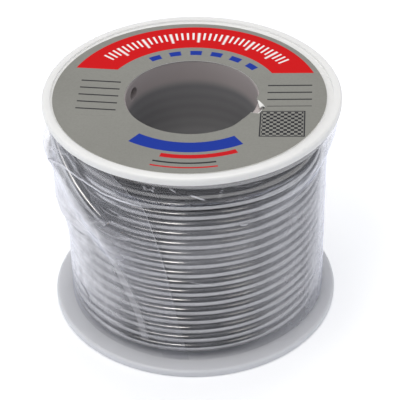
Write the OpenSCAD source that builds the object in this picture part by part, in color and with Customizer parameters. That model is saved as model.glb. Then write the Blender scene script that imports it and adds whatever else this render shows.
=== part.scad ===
// Full reel of thick flux-cored solder wire, standing on its lower flange.
// Millimetres. The origin is the centre of the bottom face, and +Z runs up the bore.
// Azimuths are in degrees about +Z: 0 is +X, and the wire climbs as its azimuth grows.

/* [Reel] */
// Outer diameter of both flanges
flange_d = 54; // [44:0.5:80]
// Overall height, from bottom face to top face
reel_h = 44.7; // [30:0.1:54]
// Thickness of each flange at its rim
flange_t = 1.6; // [1.4:0.1:3]
// Rounding of the flanges' outer edges
rim_round = 0.5; // [0.2:0.05:0.65]
// Width of the raised rim round each flange's recess
rim_w = 1.5; // [1:0.1:3]
// Depth of the recess in each flange's outer face, at its rim
recess_depth = 0.4; // [0.2:0.05:0.5]
// How much deeper the recess is at the bore
dish = 0.5; // [0:0.05:0.5]
// Diameter of the bore
bore_d = 24; // [12:0.5:30]
// Lead-in chamfer at each end of the bore
bore_chamfer = 0.3; // [0:0.05:0.5]
// Wall of the hub tube between the flanges
hub_wall = 2.25; // [1.8:0.05:4]

/* [Hub joints] */
// Wall of the spigots that sit in the flanges
spigot_wall = 1.3; // [1:0.05:1.6]
// Keys that stop a flange from turning on its spigot
key_count = 3; // [2:1:6]
// Width of a key
key_w = 2.4; // [1.5:0.1:4]
// Height of a key above its spigot
key_h = 0.6; // [0.4:0.05:0.9]
// Clearance round a spigot and its keys
joint_gap = 0.05; // [0.02:0.01:0.15]
// Clearance of a start hole round the wire
start_hole_gap = 0.25; // [0.1:0.05:0.5]
// Gap between a start hole and the flange nearest it
start_hole_edge = 0.85; // [0.5:0.05:3]
// Azimuth of the upper start hole
start_hole_az = 153; // [0:1:359]

/* [Solder wire] */
// Diameter of the wire
wire_d = 2; // [1.2:0.1:3]
// Diameter of the flux inside the wire
flux_d = 0.7; // [0.4:0.05:1]
// Length of flux that the cut end shows the start of
flux_len = 1.8; // [1:0.1:3]
// Gap between neighbouring turns of the outer layer
lay_gap = 0.15; // [0.1:0.01:0.4]
// Step between layers, as a share of the wire's diameter
layer_rise = 0.93; // [0.87:0.01:1]
// Gap between the wire and whatever it is wound against
seat_gap = 0.05; // [0.02:0.01:0.1]
// Gap between the loose end and the layer it lies on
tail_gap = 0.47; // [0.45:0.01:1]

/* [Loose end] */
// Azimuth of the cut end
tail_az = 233; // [0:1:359]
// Drop of the cut end below its place under the upper flange
tail_drop = 11.4; // [4:0.1:16]
// Angle through which the loose end dives
dive_angle = 60; // [45:15:90]
// Angle from where the outer layer meets the upper flange to the cut end, a turn later
meet_angle = 60; // [30:15:90]
// Angle before that place at which the wire starts to climb on to the layer's back
climb_lead = 30; // [15:15:45]
// Angle through which it climbs
climb_angle = 180; // [120:15:195]
// Angle through which the outer layer rises out of the layer below
start_angle = 45; // [30:15:90]

/* [Label] */
// Gap between the label's edge and the rim of the recess
label_edge_gap = 0.85; // [0.7:0.05:3]
// Gap between the bore and the label's hole
label_hole_gap = 0.12; // [0.05:0.01:1]
// Thickness of the label
label_t = 0.12; // [0.08:0.01:0.14]
// Thickness of the glue under the label, which isn't modelled
label_glue = 0.03; // [0.02:0.01:0.05]
// Label's centre from the reel's axis, along X
label_shift_x = -0.4; // [-0.45:0.05:0.45]
// Label's centre from the reel's axis, along Y
label_shift_y = -0.25; // [-0.45:0.05:0.45]

/* [Film wrap] */
// Thickness of the wrapped film
film_t = 0.15; // [0.1:0.01:0.3]
// Gap between the film and the wire
film_gap = 0.12; // [0.1:0.01:0.4]
// Gap between the film's two layers where its ends overlap
film_lap_gap = 0.05; // [0.03:0.01:0.2]
// Gap between the film and each flange
film_end_gap = 0.1; // [0.05:0.05:1]
// Gap between the film over the loose end and the flanges' edge
film_inset = 0.3; // [0.2:0.05:1]
// Height over which the film falls from the loose end back to the turns
tent_h = 11; // [6:0.5:20]
// Angle ahead of the cut end over which it comes down
tent_ahead = 30; // [15:15:60]
// Angle over which it rises again, further round
tent_behind = 60; // [30:15:90]
// Height over which it falls from the upper flange back to the turns elsewhere
top_tent_h = 4.5; // [2:0.5:12]
// How far the film stands off on its slack side
film_slack = 0.8; // [0:0.05:1.5]
// Azimuth of the middle of the slack side
film_slack_az = 0; // [0:1:359]
// Azimuth of the film's outer end at the lower flange
film_edge_az = 267; // [0:1:359]
// Angle by which that end leans over, from bottom to top
film_edge_lean = 24; // [0:1:45]

/* [Hidden] */

$fn = 96;
over = 1; // how far a cutting shape runs past what it cuts

PLASTIC = [0.93, 0.93, 0.90];
SOLDER = [0.62, 0.61, 0.60];
FLUX = [0.83, 0.66, 0.30];
LABEL = [0.60, 0.60, 0.57];
FILM = [0.85, 0.87, 0.90, 0.4];

// Reel
flange_r = flange_d / 2;
bore_r = bore_d / 2;
hub_r = bore_r + hub_wall;
spigot_r = bore_r + spigot_wall;
recess_r = flange_r - rim_w;
inner_z = [flange_t, reel_h - flange_t]; // the flanges' inner faces

// Wire: radii of the layers, and heights of the outer layer's first and last turns
wire_r = wire_d / 2;
layer_step = wire_d * layer_rise;
pitch = wire_d + lay_gap;
tail_lift = wire_d + tail_gap; // from the outer layer's centreline to the loose end's
wound_depth = flange_r - film_inset - 2 * film_t - film_lap_gap - film_gap - hub_r;
layers = 1 + floor((wound_depth - wire_d - tail_lift) / layer_step);
outer_r = hub_r + wire_r + (layers - 1) * layer_step;
tail_r = outer_r + tail_lift;
low_z = inner_z[0] + seat_gap + wire_r;
top_z = inner_z[1] - seat_gap - wire_r;

// Rings of the wire's tube, counted along it from its start
RINGS = 24; // to a turn
SIDES = 6; // flats face the neighbouring turns
ring_angle = 360 / RINGS;
wound_rings = floor((top_z - low_z) / pitch * RINGS);
last_ring = wound_rings + (360 + meet_angle) / ring_angle;
start_rings = start_angle / ring_angle;
climb_rings = climb_angle / ring_angle;
dive_rings = dive_angle / ring_angle;
climb_start = wound_rings - climb_lead / ring_angle;
dive_start = last_ring - dive_rings;
start_z = top_z - wound_rings * pitch / RINGS;
start_az = tail_az - last_ring * ring_angle;

// Core of inner layers: just inside the flats of the tube's rings
core_r = (outer_r - wire_r) * cos(ring_angle / 2) - seat_gap;
start_r = outer_r - layer_step;
start_hole_z = [inner_z[0] + start_hole_edge + wire_r + start_hole_gap,
    inner_z[1] - start_hole_edge - wire_r - start_hole_gap];

function ease(t) = let (u = min(1, max(0, t))) u * u * (3 - 2 * u);
function unit(v) = v / norm(v);
function at(r, az, z) = [r * cos(az), r * sin(az), z];

// The dive starts gently and then falls at a steady slope: 0 at t = 0 and 1 at t = 1
DIVE_EASE = 0.4; // share of the dive that eases in
function dive(t) = (t < DIVE_EASE ? t * t / (2 * DIVE_EASE) : t - DIVE_EASE / 2) / (1 - DIVE_EASE / 2);

// Wire's centreline: radius and height at ring i
function wire_radius(i) =
    i < start_rings ? start_r + layer_step * ease(i / start_rings)
    : outer_r + tail_lift * ease((i - climb_start) / climb_rings);
function wire_height(i) =
    i < dive_start ? min(top_z, start_z + i * pitch / RINGS)
    : top_z - tail_drop * dive((i - dive_start) / dive_rings);
function wire_point(i) = at(wire_radius(i), start_az + i * ring_angle, wire_height(i));

// Stations of the tube, each a point and its tangent. Both ends run straight for one diameter,
// and the first is square to the radial wall of its pocket in the core.
start_dir = [-sin(start_az), cos(start_az), 0];
tail_dir = unit(wire_point(last_ring) - wire_point(last_ring - 1));
stations = concat(
    [for (d = [0, wire_d]) [wire_point(0) + d * start_dir, start_dir]],
    [for (i = [1:last_ring - 1]) [wire_point(i), unit(wire_point(i + 1) - wire_point(i - 1))]],
    [for (d = [wire_d, 0]) [wire_point(last_ring) - d * tail_dir, tail_dir]]
);

// Corners of the tube's ring at a station: two corners point away from the reel's axis
function ring_at(station) = let (
    p = station[0],
    t = station[1],
    flat_out = [p[0], p[1], 0],
    out = unit(flat_out - (flat_out * t) * t),
    up = cross(out, t)
) [for (k = [0:SIDES - 1]) p + wire_r * (cos(k * 360 / SIDES) * out + sin(k * 360 / SIDES) * up)];

rings = [for (s = stations) ring_at(s)];

// Least gap between stretches of the tube half a turn or more apart, on points along its corners
GAP_SAMPLES = 4; // to a stretch between two rings
NEAR = wire_d + 2 * pitch; // stretches whose first rings are further apart than this are skipped
function corner_points(i) = [for (k = [0:SIDES - 1], s = [0:GAP_SAMPLES])
    rings[i][k] + (rings[i + 1][k] - rings[i][k]) * s / GAP_SAMPLES];
function gap_between(a, b) = min([for (p = a, q = b) norm(p - q)]);
function least_gap() = let (stretches = len(rings) - 1)
    min([for (i = [0:stretches - 1 - RINGS / 2], j = [i + RINGS / 2:stretches - 1])
        if (norm(stations[i][0] - stations[j][0]) < NEAR)
            gap_between(corner_points(i), corner_points(j))]);

module tube() {
    count = len(rings);
    faces = concat(
        [for (k = [1:SIDES - 2]) [0, k + 1, k]],
        [for (i = [0:count - 2], k = [0:SIDES - 1]) let (
            a = i * SIDES + k,
            b = i * SIDES + (k + 1) % SIDES
        ) each [[a, b, b + SIDES], [a, b + SIDES, a + SIDES]]],
        [for (k = [1:SIDES - 2]) let (a = (count - 1) * SIDES) [a, a + k, a + k + 1]]
    );
    polyhedron(points = [for (r = rings) each r], faces = faces);
}

// Depth of the dished recess at radius r
function recess_at(r) = recess_depth + dish * (recess_r - r) / (recess_r - bore_r);

// One flange, as the lower one lies: its outer face down
module flange_section() {
    difference() {
        union() {
            square([flange_r - rim_round, flange_t]);
            translate([0, rim_round])
                square([flange_r, flange_t - 2 * rim_round]);
            for (z = [rim_round, flange_t - rim_round])
                translate([flange_r - rim_round, z])
                    circle(r = rim_round, $fn = 48);
        }
        polygon([[-over, -over], [recess_r, -over], [recess_r, recess_depth],
            [bore_r, recess_at(bore_r)], [-over, recess_at(bore_r)]]);
    }
}

// The spigot's outline with its keys, grown all round by gap
module spigot(h, gap) {
    cylinder(r = spigot_r + gap, h = h);
    for (k = [0:key_count - 1])
        rotate([0, 0, k * 360 / key_count])
            translate([0, -key_w / 2 - gap, 0])
                cube([spigot_r + key_h + gap, key_w + 2 * gap, h]);
}

module flange() {
    difference() {
        rotate_extrude()
            flange_section();
        translate([0, 0, -over])
            spigot(flange_t + 2 * over, joint_gap);
    }
}

module lower_flange() {
    color(PLASTIC)
        flange();
}

module upper_flange() {
    color(PLASTIC)
        translate([0, 0, reel_h])
            mirror([0, 0, 1])
                flange();
}

// The lower start hole lies opposite the upper one
module start_holes() {
    for (end = [0, 1])
        rotate([0, 90, start_hole_az + 180 * (1 - end)])
            translate([-start_hole_z[end], 0, 0])
                cylinder(r = wire_r + start_hole_gap, h = hub_r + over, $fn = 48);
}

module hub_tube() {
    bore_z = [recess_at(bore_r), reel_h - recess_at(bore_r)];
    color(PLASTIC)
        difference() {
            union() {
                translate([0, 0, inner_z[0]])
                    cylinder(r = hub_r, h = inner_z[1] - inner_z[0]);
                translate([0, 0, bore_z[0]])
                    spigot(bore_z[1] - bore_z[0], 0);
            }
            translate([0, 0, -over])
                cylinder(r = bore_r, h = reel_h + 2 * over);
            for (end = [0, 1])
                translate([0, 0, bore_z[end]])
                    mirror([0, 0, end])
                        translate([0, 0, -over])
                            cylinder(r1 = bore_r + bore_chamfer + over, r2 = bore_r - over,
                                h = bore_chamfer + 2 * over);
            start_holes();
        }
}

// Layers under the outer one, with the wire's start in the lower start hole and a pocket
// where the outer layer rises out of them
module inner_turns() {
    pocket_h = start_z + start_rings * pitch / RINGS + wire_r + seat_gap - inner_z[0];
    color(SOLDER) {
        difference() {
            translate([0, 0, inner_z[0]])
                cylinder(r = core_r, h = inner_z[1] - inner_z[0]);
            translate([0, 0, inner_z[0] - over])
                cylinder(r = hub_r, h = inner_z[1] - inner_z[0] + 2 * over);
            translate([0, 0, inner_z[0] - over])
                rotate([0, 0, start_az])
                    rotate_extrude(angle = start_angle + ring_angle)
                        translate([start_r - wire_r - seat_gap, 0])
                            square([core_r, pocket_h + over]);
        }
        start_stub();
    }
}

// The wire's inner end stops short of the bore
module start_stub() {
    stub_end = bore_r + wire_r / 2;
    rotate([0, 90, start_hole_az + 180])
        translate([-start_hole_z[0], 0, stub_end])
            cylinder(r = wire_r, h = hub_r + wire_r - stub_end, $fn = 48);
}

// The flux lies in a blind hole in the cut end
module flux_rod(h) {
    tail_end = stations[len(stations) - 1][0];
    pan = atan2(tail_dir[1], tail_dir[0]);
    tilt = acos(tail_dir[2]);
    translate(tail_end)
        rotate([0, tilt, pan])
            translate([0, 0, -flux_len])
                cylinder(d = flux_d, h = h, $fn = 24);
}

module outer_turns() {
    echo(least_gap_of_wire_to_itself_mm = least_gap());
    color(SOLDER)
        difference() {
            tube();
            flux_rod(flux_len + over);
        }
}

module flux_core() {
    color(FLUX)
        flux_rod(flux_len);
}

module label() {
    label_r = recess_r - label_edge_gap;
    hole_r = bore_r + bore_chamfer + label_hole_gap;
    color(LABEL)
        translate([0, 0, reel_h])
            mirror([0, 0, 1])
                intersection() {
                    rotate_extrude()
                        polygon([for (corner = [[hole_r, 0], [recess_r, 0], [recess_r, label_t], [hole_r, label_t]])
                            [corner[0], recess_at(corner[0]) - label_glue - corner[1]]]);
                    translate([label_shift_x, label_shift_y, 0])
                        cylinder(r = label_r, h = flange_t);
                }
}

// The film is one strip, wound once round with its outer end lapped over its inner one.
// Each column of points stands at one angle back from the outer end, against the wire's way.
FILM_SIDES = 48; // to a turn
FILM_LAP = 7; // sides that the ends overlap by
FILM_ROWS = 10;
ROW_CROWDING = 1.5; // rows stand closer towards the upper flange, where the film is tented
FILM_SEAT = wire_d; // it leaves the loose end this far under the end's centreline

// Height of the wire that lifts the film at an azimuth: the loose end or, ahead of it, its cut end
function lifting_z(az) = let (back = (tail_az - az + 720) % 360)
    wire_height(last_ring - (back > 360 - tent_ahead ? 0 : back / ring_angle));
function lifted(az) = let (back = (tail_az - az + 720) % 360)
    max(ease((back - 360 + tent_ahead) / tent_ahead), ease((360 - tent_ahead - back) / tent_behind));
function hang(drop, h) = 1 - ease(drop / h);
function slack(az) = let (off = abs((az - film_slack_az + 900) % 360 - 180)) ease(1 - off / 60);
function film_lift(az, z) = max(
    tail_lift * lifted(az) * hang(lifting_z(az) - FILM_SEAT - z, tent_h),
    tail_lift * hang(top_z - FILM_SEAT - z, top_tent_h),
    film_slack * slack(az)
);

module film_wrap() {
    film_z = [inner_z[0] + film_end_gap, inner_z[1] - film_end_gap];
    seat_r = (outer_r + wire_r + film_gap) / cos(180 / FILM_SIDES);
    columns = FILM_SIDES + FILM_LAP;
    function lap(column) = (film_t + film_lap_gap) * (1 - ease((column - FILM_LAP) / FILM_LAP));
    points = [for (t = [0, film_t], row = [0:FILM_ROWS], column = [0:columns]) let (
        share = 1 - pow(1 - row / FILM_ROWS, ROW_CROWDING),
        z = film_z[0] + (film_z[1] - film_z[0]) * share,
        az = film_edge_az - film_edge_lean * share - column * 360 / FILM_SIDES
    ) at(seat_r + film_lift(az, z) + lap(column) + t, az, z)];

    // Point numbers: wall 0 faces the wire and wall 1 faces out
    function number(wall, row, column) = (wall * (FILM_ROWS + 1) + row) * (columns + 1) + column;
    function quad(a, b, c, d) = [[a, c, b], [a, d, c]];
    walls = [for (row = [0:FILM_ROWS - 1], column = [0:columns - 1]) each concat(
        quad(number(0, row, column), number(0, row, column + 1),
            number(0, row + 1, column + 1), number(0, row + 1, column)),
        quad(number(1, row, column), number(1, row + 1, column),
            number(1, row + 1, column + 1), number(1, row, column + 1))
    )];
    rims = [for (column = [0:columns - 1]) each concat(
        quad(number(0, 0, column), number(1, 0, column),
            number(1, 0, column + 1), number(0, 0, column + 1)),
        quad(number(0, FILM_ROWS, column), number(0, FILM_ROWS, column + 1),
            number(1, FILM_ROWS, column + 1), number(1, FILM_ROWS, column))
    )];
    ends = [for (row = [0:FILM_ROWS - 1]) each concat(
        quad(number(0, row, 0), number(0, row + 1, 0),
            number(1, row + 1, 0), number(1, row, 0)),
        quad(number(0, row, columns), number(1, row, columns),
            number(1, row + 1, columns), number(0, row + 1, columns))
    )];
    color(FILM)
        polyhedron(points = points, faces = concat(walls, rims, ends));
}

lower_flange();
upper_flange();
hub_tube();
inner_turns();
outer_turns();
flux_core();
label();
film_wrap();
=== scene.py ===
import math

import bpy
import numpy as np
from mathutils import Matrix, Vector


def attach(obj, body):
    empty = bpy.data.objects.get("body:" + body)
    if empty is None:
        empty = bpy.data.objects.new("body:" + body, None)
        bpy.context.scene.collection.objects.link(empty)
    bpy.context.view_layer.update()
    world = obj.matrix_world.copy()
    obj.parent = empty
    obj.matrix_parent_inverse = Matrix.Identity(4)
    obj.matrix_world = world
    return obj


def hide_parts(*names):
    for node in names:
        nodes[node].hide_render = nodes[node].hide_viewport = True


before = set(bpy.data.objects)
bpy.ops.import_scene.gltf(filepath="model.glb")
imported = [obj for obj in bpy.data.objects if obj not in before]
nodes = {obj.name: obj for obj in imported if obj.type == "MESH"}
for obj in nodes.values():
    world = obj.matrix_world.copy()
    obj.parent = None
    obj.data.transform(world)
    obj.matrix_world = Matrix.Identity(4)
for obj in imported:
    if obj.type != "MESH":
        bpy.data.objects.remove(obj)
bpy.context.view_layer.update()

scene = bpy.context.scene
MM = 0.001
X, Y, Z = np.eye(3)

# ---------------------------------------------------------------- the CAD model's sizes, in mm and degrees
FLANGE_R, REEL_H, FLANGE_T = 27.0, 44.7, 1.6
RECESS_R, RECESS_DEPTH, DISH = 25.5, 0.4, 0.5
LABEL_R, LABEL_T, LABEL_GLUE = 24.65, 0.12, 0.03
BORE_R, HUB_R = 12.0, 14.25
START_HOLE_AZ, START_HOLE_Z = 153.0, 3.7
WIRE_R, FLUX_R = 1.0, 0.35
PITCH = 2.15
LAYER_STEP = 1.86
OUTER_R = 22.69  # to the centreline of the outer layer
TAIL_LIFT = 2.47  # from there out to the centreline of the loose end
LOW_Z, TOP_Z = 2.65, 42.05  # centrelines of the lowest and highest turns
# Places along the outer wire are counted in rings, from its start at the lower flange
RINGS = 24  # to a turn
RING_ANGLE = 360 / RINGS
START_RINGS, CLIMB_START, CLIMB_RINGS, CLIMB_POWER = 3, 437, 12, 1.25
DIVE_START, DIVE_RINGS, LAST_RING = 463, 4, 467
DIVE_EASE = 0.4  # share of the dive in which its slope builds up
START_AZ, START_Z = -6772.0, 2.72292
TAIL_AZ, TAIL_DROP = 233.0, 11.4
FILM_LOW, FILM_HIGH = 1.7, 43.0
FILM_SEAT = 2.0  # the film leaves the wire that lifts it this far under the wire's centreline
TENT_H, TOP_TENT_H = 11.0, 4.5
TENT_AHEAD, TENT_BEHIND = 30, 60  # where the loose end's lift of the film fades, ahead of it and behind
FILM_SLACK, SLACK_AZ, SLACK_SPREAD = 0.8, 0.0, 60

# ---------------------------------------------------------------- sizes of this finer model only
WIRE_SIDES, WIRE_PER_RING = 20, 4
SAG = 1.25  # how far the upper turns run low at the front right
WANDER_R, WANDER_Z = 0.035, 0.043
PRESSED_IN = 0.3  # how much deeper the turns lie that are in the upper flange's shadow
CUT_PROFILE = [(0.10, 0.93), (0.14, 0.72), (0.10, FLUX_R), (-1.2, FLUX_R)]  # distance past the end, radius
FLUX_PROFILE = [(-1.15, 0.34), (-0.02, 0.34), (0.03, 0.29), (0.05, 0.16)]
FLUX_BACK, FLUX_TIP = -1.15, 0.045
INNER_TURNS, INNER_PER_TURN, INNER_SIDES, INNER_START = 18.3, 48, 12, 0.7
INNER_GAP = 0.18  # how much deeper than the layer step the inner layer lies, to clear the outer one
INNER_HIGH, INNER_LOW = 0.32, 0.18  # and how much more at the top and bottom, where that one is pressed in
STREAK_R = 20.66  # radius at which the inner layer's streaks are measured
CORE_R, CORE_GAP, CORE_SIDES = 20.1, 0.02, 96
STUB_PROFILE = [(12.35, 0.01), (12.35, 0.35), (12.35, 0.85), (12.5, 1.0), (15.0, 1.0)]
HOLE_CENTRE, LABEL_CENTRE = np.array([0.0, -0.3]), np.array([-0.4, -0.25])
LABEL_POINTS, LABEL_RINGS = 900, 18
FLAP_STEPS, FLAP_ACROSS, FLAP_T, FLAP_GAP = 14, 6, 0.09, 0.04
PRINT_TURN = math.radians(-4.6)
FILM_ROWS = 200
FILM_GAP = 0.13  # from the turns to the film that lies on them
LAP_GAP = 0.16  # and between the film's two ends
FILM_DIP = 0.11  # how far the film sinks in between turns
TENT_RADIUS, TENT_ROWS, TENT_SIDES = 900.0, 16, 48
# How light the cloth tent is: share of its height, and brightness there
TENT_STOPS = [
    (0.00, 1.0), (0.04, 0.80), (0.11, 0.05), (0.55, 0.03), (0.72, 0.05), (0.86, 0.16), (0.95, 0.22),
    (1.0, 0.3),
]
FLOOR_HALF, FLOOR_POINTS = 1500.0, 9


# ---------------------------------------------------------------- curves
def ease(t):
    """Rises smoothly from 0 at 0 to 1 at 1."""
    u = np.clip(t, 0, 1)
    return u * u * (3 - 2 * u)


def ramp(value, start, width):
    """Rises smoothly from 0 at start to 1 at start + width."""
    return ease((value - start) / width)


def bell(value, middle, half, power=2):
    """1 in the middle, and 1/e at the distance half from it."""
    return np.exp(-(((value - middle) / half) ** power))


def wrapped(angle):
    """The same angle between -180 and 180 degrees."""
    return np.mod(angle + 180, 360) - 180


def front_angle(az):
    """Degrees from the front, + to the right, between -180 and 180."""
    return wrapped(az + 90)


def recess_at(r):
    """Depth of the flange's dished recess at radius r."""
    return RECESS_DEPTH + DISH * (RECESS_R - r) / (RECESS_R - BORE_R)


def dive(t):
    """The loose end's fall, 0 to 1: it starts level and then keeps a steady slope."""
    return np.where(t < DIVE_EASE, t * t / (2 * DIVE_EASE), t - DIVE_EASE / 2) / (1 - DIVE_EASE / 2)


# ---------------------------------------------------------------- smooth random numbers
def noise_line(seed, count):
    """Smooth random numbers between -1 and 1 along a line, repeating after count steps."""
    grid = np.random.default_rng(seed).uniform(-1, 1, count)

    def at(t):
        i = np.floor(t).astype(int)
        u = ease(t - i)
        return grid[i % count] * (1 - u) + grid[(i + 1) % count] * u

    return at


def noise_field(seed, rows, columns):
    """Smooth random numbers between -1 and 1 over a plane, repeating after rows and columns."""
    grid = np.random.default_rng(seed).uniform(-1, 1, (rows, columns))

    def at(a, b):
        i, j = np.floor(a).astype(int), np.floor(b).astype(int)
        u, v = ease(a - i), ease(b - j)
        i0, i1, j0, j1 = i % rows, (i + 1) % rows, j % columns, (j + 1) % columns
        near = grid[i0, j0] * (1 - u) + grid[i1, j0] * u
        far = grid[i0, j1] * (1 - u) + grid[i1, j1] * u
        return near * (1 - v) + far * v

    return at


# ---------------------------------------------------------------- meshes
def mesh_object(name, points, faces, materials, smooth=True, slots=None):
    """An object from points in mm. With several materials, slots gives the number of each face's own."""
    mesh = bpy.data.meshes.new(name)
    mesh.from_pydata((np.asarray(points, float) * MM).tolist(), [], [list(map(int, f)) for f in faces])
    mesh.update()
    for polygon in mesh.polygons:
        polygon.use_smooth = smooth
    for material in materials if isinstance(materials, (list, tuple)) else [materials]:
        mesh.materials.append(material)
    if slots is not None:
        mesh.polygons.foreach_set("material_index", np.asarray(slots, np.int32))
    ob = bpy.data.objects.new(name, mesh)
    scene.collection.objects.link(ob)
    return ob


def piece(ob, slot, *replaced):
    """One of the part's visible pieces, and the CAD nodes that it is shown in place of."""
    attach(ob, "root")
    if replaced:
        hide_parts(*replaced)


def tangents_of(points):
    t = np.gradient(points, axis=0)
    return t / np.linalg.norm(t, axis=1)[:, None]


def on_circle(az, radius, height):
    """Points at these azimuths in radians."""
    return np.stack([radius * np.cos(az), radius * np.sin(az), height], -1)


def circle(sides, across, up):
    """A circle of radius 1 in the plane of two directions."""
    a = np.arange(sides) * 2 * np.pi / sides
    return np.cos(a)[:, None] * across + np.sin(a)[:, None] * up


def turned(start, direction, ring, profile):
    """Rings of points round a line. Each step of the profile is a distance along it and a radius."""
    return np.array([start + direction * along + radius * ring for along, radius in profile]).reshape(-1, 3)


def tube(centres, tangents, outs, radius, sides):
    """Rings of points round a path. outs are rough outward directions, made square to the tangents."""
    outs = outs - (outs * tangents).sum(1)[:, None] * tangents
    outs /= np.linalg.norm(outs, axis=1)[:, None]
    ups = np.cross(outs, tangents)
    a = np.arange(sides) * 2 * np.pi / sides
    rings = np.cos(a)[None, :, None] * outs[:, None, :] + np.sin(a)[None, :, None] * ups[:, None, :]
    return (centres[:, None, :] + radius * rings).reshape(-1, 3)


def tube_faces(rows, sides):
    """Faces between rings of points."""
    i, k = np.meshgrid(np.arange(rows - 1), np.arange(sides), indexing="ij")
    a, b = i * sides + k, i * sides + (k + 1) % sides
    return np.stack([a, b, b + sides, a + sides], -1).reshape(-1, 4)


def capped(rows, sides):
    """Faces between rings of points, and a flat one at each end."""
    ends = [tuple(range(sides))[::-1], tuple(range((rows - 1) * sides, rows * sides))]
    return [tuple(face) for face in tube_faces(rows, sides)] + ends


def grid_faces(rows, columns):
    """Faces between rows of points."""
    j, k = np.meshgrid(np.arange(rows - 1), np.arange(columns - 1), indexing="ij")
    p = j * columns + k
    return np.stack([p, p + 1, p + columns + 1, p + columns], -1).reshape(-1, 4)


def turned_over(faces):
    return faces[:, [0, 3, 2, 1]]


def add_values(ob, name, values):
    attribute = ob.data.attributes.new(name, "FLOAT", "POINT")
    attribute.data.foreach_set("value", np.asarray(values, np.float32).ravel())


def face_corners(mesh):
    """The point and the face of each corner of a face, and how many corners each face has."""
    point = np.empty(len(mesh.loops), np.int32)
    mesh.loops.foreach_get("vertex_index", point)
    totals = np.empty(len(mesh.polygons), np.int32)
    mesh.polygons.foreach_get("loop_total", totals)
    return point, np.repeat(np.arange(len(totals)), totals), totals


def set_uv(ob, name, u, v):
    layer = ob.data.uv_layers.new(name=name)
    layer.uv.foreach_set("vector", np.stack([u, v], 1).astype(np.float32).ravel())


def add_uv(ob, name, u_of_point, v_of_point, wraps=False):
    """A UV map from values at the points. If it wraps, v goes round from 0 to 1 and meets itself."""
    point, face, totals = face_corners(ob.data)
    u, v = u_of_point[point].astype(np.float32), v_of_point[point].astype(np.float32)
    if wraps:
        top = np.full(len(totals), -1e9, np.float32)
        np.maximum.at(top, face, v)
        v = np.where(top[face] - v > 0.5, v + 1.0, v)
    set_uv(ob, name, u, v)


def bake_rows(ob, ring, sides):
    """A second UV map for baking: one strip for each turn, stacked upwards."""
    point, face, totals = face_corners(ob.data)
    place, side = np.asarray(ring, float)[point // sides], point % sides
    first = np.full(len(totals), 1e9)
    np.minimum.at(first, face, place)
    top = np.zeros(len(totals), int)
    np.maximum.at(top, face, side)
    strip = np.floor(first[face] / RINGS + 1e-6)
    meets_itself = (top[face] == sides - 1) & (side == 0) & (totals[face] == 4)
    around_tube = np.where(meets_itself, sides, side) / sides
    strips = np.floor(max(ring) / RINGS) + 1
    u = 0.002 + 0.99 * (place - strip * RINGS) / RINGS
    v = (strip + 0.04 + 0.92 * around_tube) / strips
    set_uv(ob, "OFBake", u, v)


# ---------------------------------------------------------------- shader nodes
class Nodes:
    """A short way to add nodes to a tree. A value that is a socket is linked, and any other is set."""

    def __init__(self, tree, output):
        self.tree = tree
        self.tree.nodes.clear()
        self.output = self.tree.nodes.new(output)

    def add(self, kind, values=None, **settings):
        node = self.tree.nodes.new("ShaderNode" + kind)
        for key, value in settings.items():
            setattr(node, key, value)
        for key, value in (values or {}).items():
            self.put(node.inputs[key], value)
        return node

    def put(self, socket, value):
        if isinstance(value, bpy.types.NodeSocket):
            self.tree.links.new(value, socket)
        elif isinstance(value, tuple) and len(value) == 3 and socket.type == "RGBA":
            socket.default_value = (*value, 1.0)
        else:
            socket.default_value = value

    def shader(self, kind, values):
        return self.add(kind, values).outputs[0]

    def blend(self, factor, a, b):
        """Shader a where the factor is 0, and b where it is 1."""
        return self.shader("MixShader", {0: factor, 1: a, 2: b})

    def surface(self, shader):
        self.tree.links.new(shader, self.output.inputs["Surface"])

    def backdrop(self):
        """1 for rays that show the background: from the camera, by reflection or through clear things."""
        path = self.add("LightPath")
        either = self.math("MAXIMUM", path.outputs["Is Camera Ray"], path.outputs["Is Glossy Ray"])
        return self.math("MAXIMUM", either, path.outputs["Is Transmission Ray"])

    def place(self):
        return self.add("TexCoord").outputs["Object"]

    def axes(self, vector):
        parts = self.add("SeparateXYZ", {"Vector": vector}).outputs
        return parts["X"], parts["Y"], parts["Z"]

    def value_of(self, name):
        return self.add("Attribute", attribute_name=name).outputs["Fac"]

    def math(self, operation, *values, clamp=False):
        node = self.add("Math", operation=operation, use_clamp=clamp)
        for socket, value in zip(node.inputs, values):
            self.put(socket, value)
        return node.outputs[0]

    def weighted(self, *terms):
        """The sum of values, each times its weight."""
        value, weight = terms[0]
        first = value if weight == 1 else self.math("MULTIPLY", value, weight)
        return self.math("ADD", first, self.weighted(*terms[1:])) if terms[1:] else first

    def mix(self, factor, a, b):
        """Colour a where the factor is 0, and b where it is 1."""
        node = self.add("Mix", data_type="RGBA")
        for socket, value in zip((node.inputs["Factor"], node.inputs[6], node.inputs[7]), (factor, a, b)):
            self.put(socket, value)
        return node.outputs[2]

    def noise(self, vector, scale, detail=2.0, roughness=0.5):
        values = {"Vector": vector, "Scale": scale, "Detail": detail, "Roughness": roughness}
        return self.add("TexNoise", values).outputs["Fac"]

    def remap(self, value, low, high, to_low=0.0, to_high=1.0, **settings):
        values = {"Value": value, "From Min": low, "From Max": high, "To Min": to_low, "To Max": to_high}
        return self.add("MapRange", values, clamp=True, **settings).outputs[0]

    def stretch(self, vector, scale, rotation=(0, 0, 0)):
        return self.add("Mapping", {"Vector": vector, "Scale": scale, "Rotation": rotation}).outputs[0]

    def bump(self, height, distance, strength=1.0):
        return self.add("Bump", {"Height": height, "Distance": distance, "Strength": strength}).outputs[0]


class Shader(Nodes):
    """A new material."""

    def __init__(self, name):
        self.material = bpy.data.materials.new(name)
        self.material.use_nodes = True
        super().__init__(self.material.node_tree, "ShaderNodeOutputMaterial")

    def finished(self, shader):
        self.surface(shader)
        return self.material

    def principled(self, values):
        return self.finished(self.shader("BsdfPrincipled", values))


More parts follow.
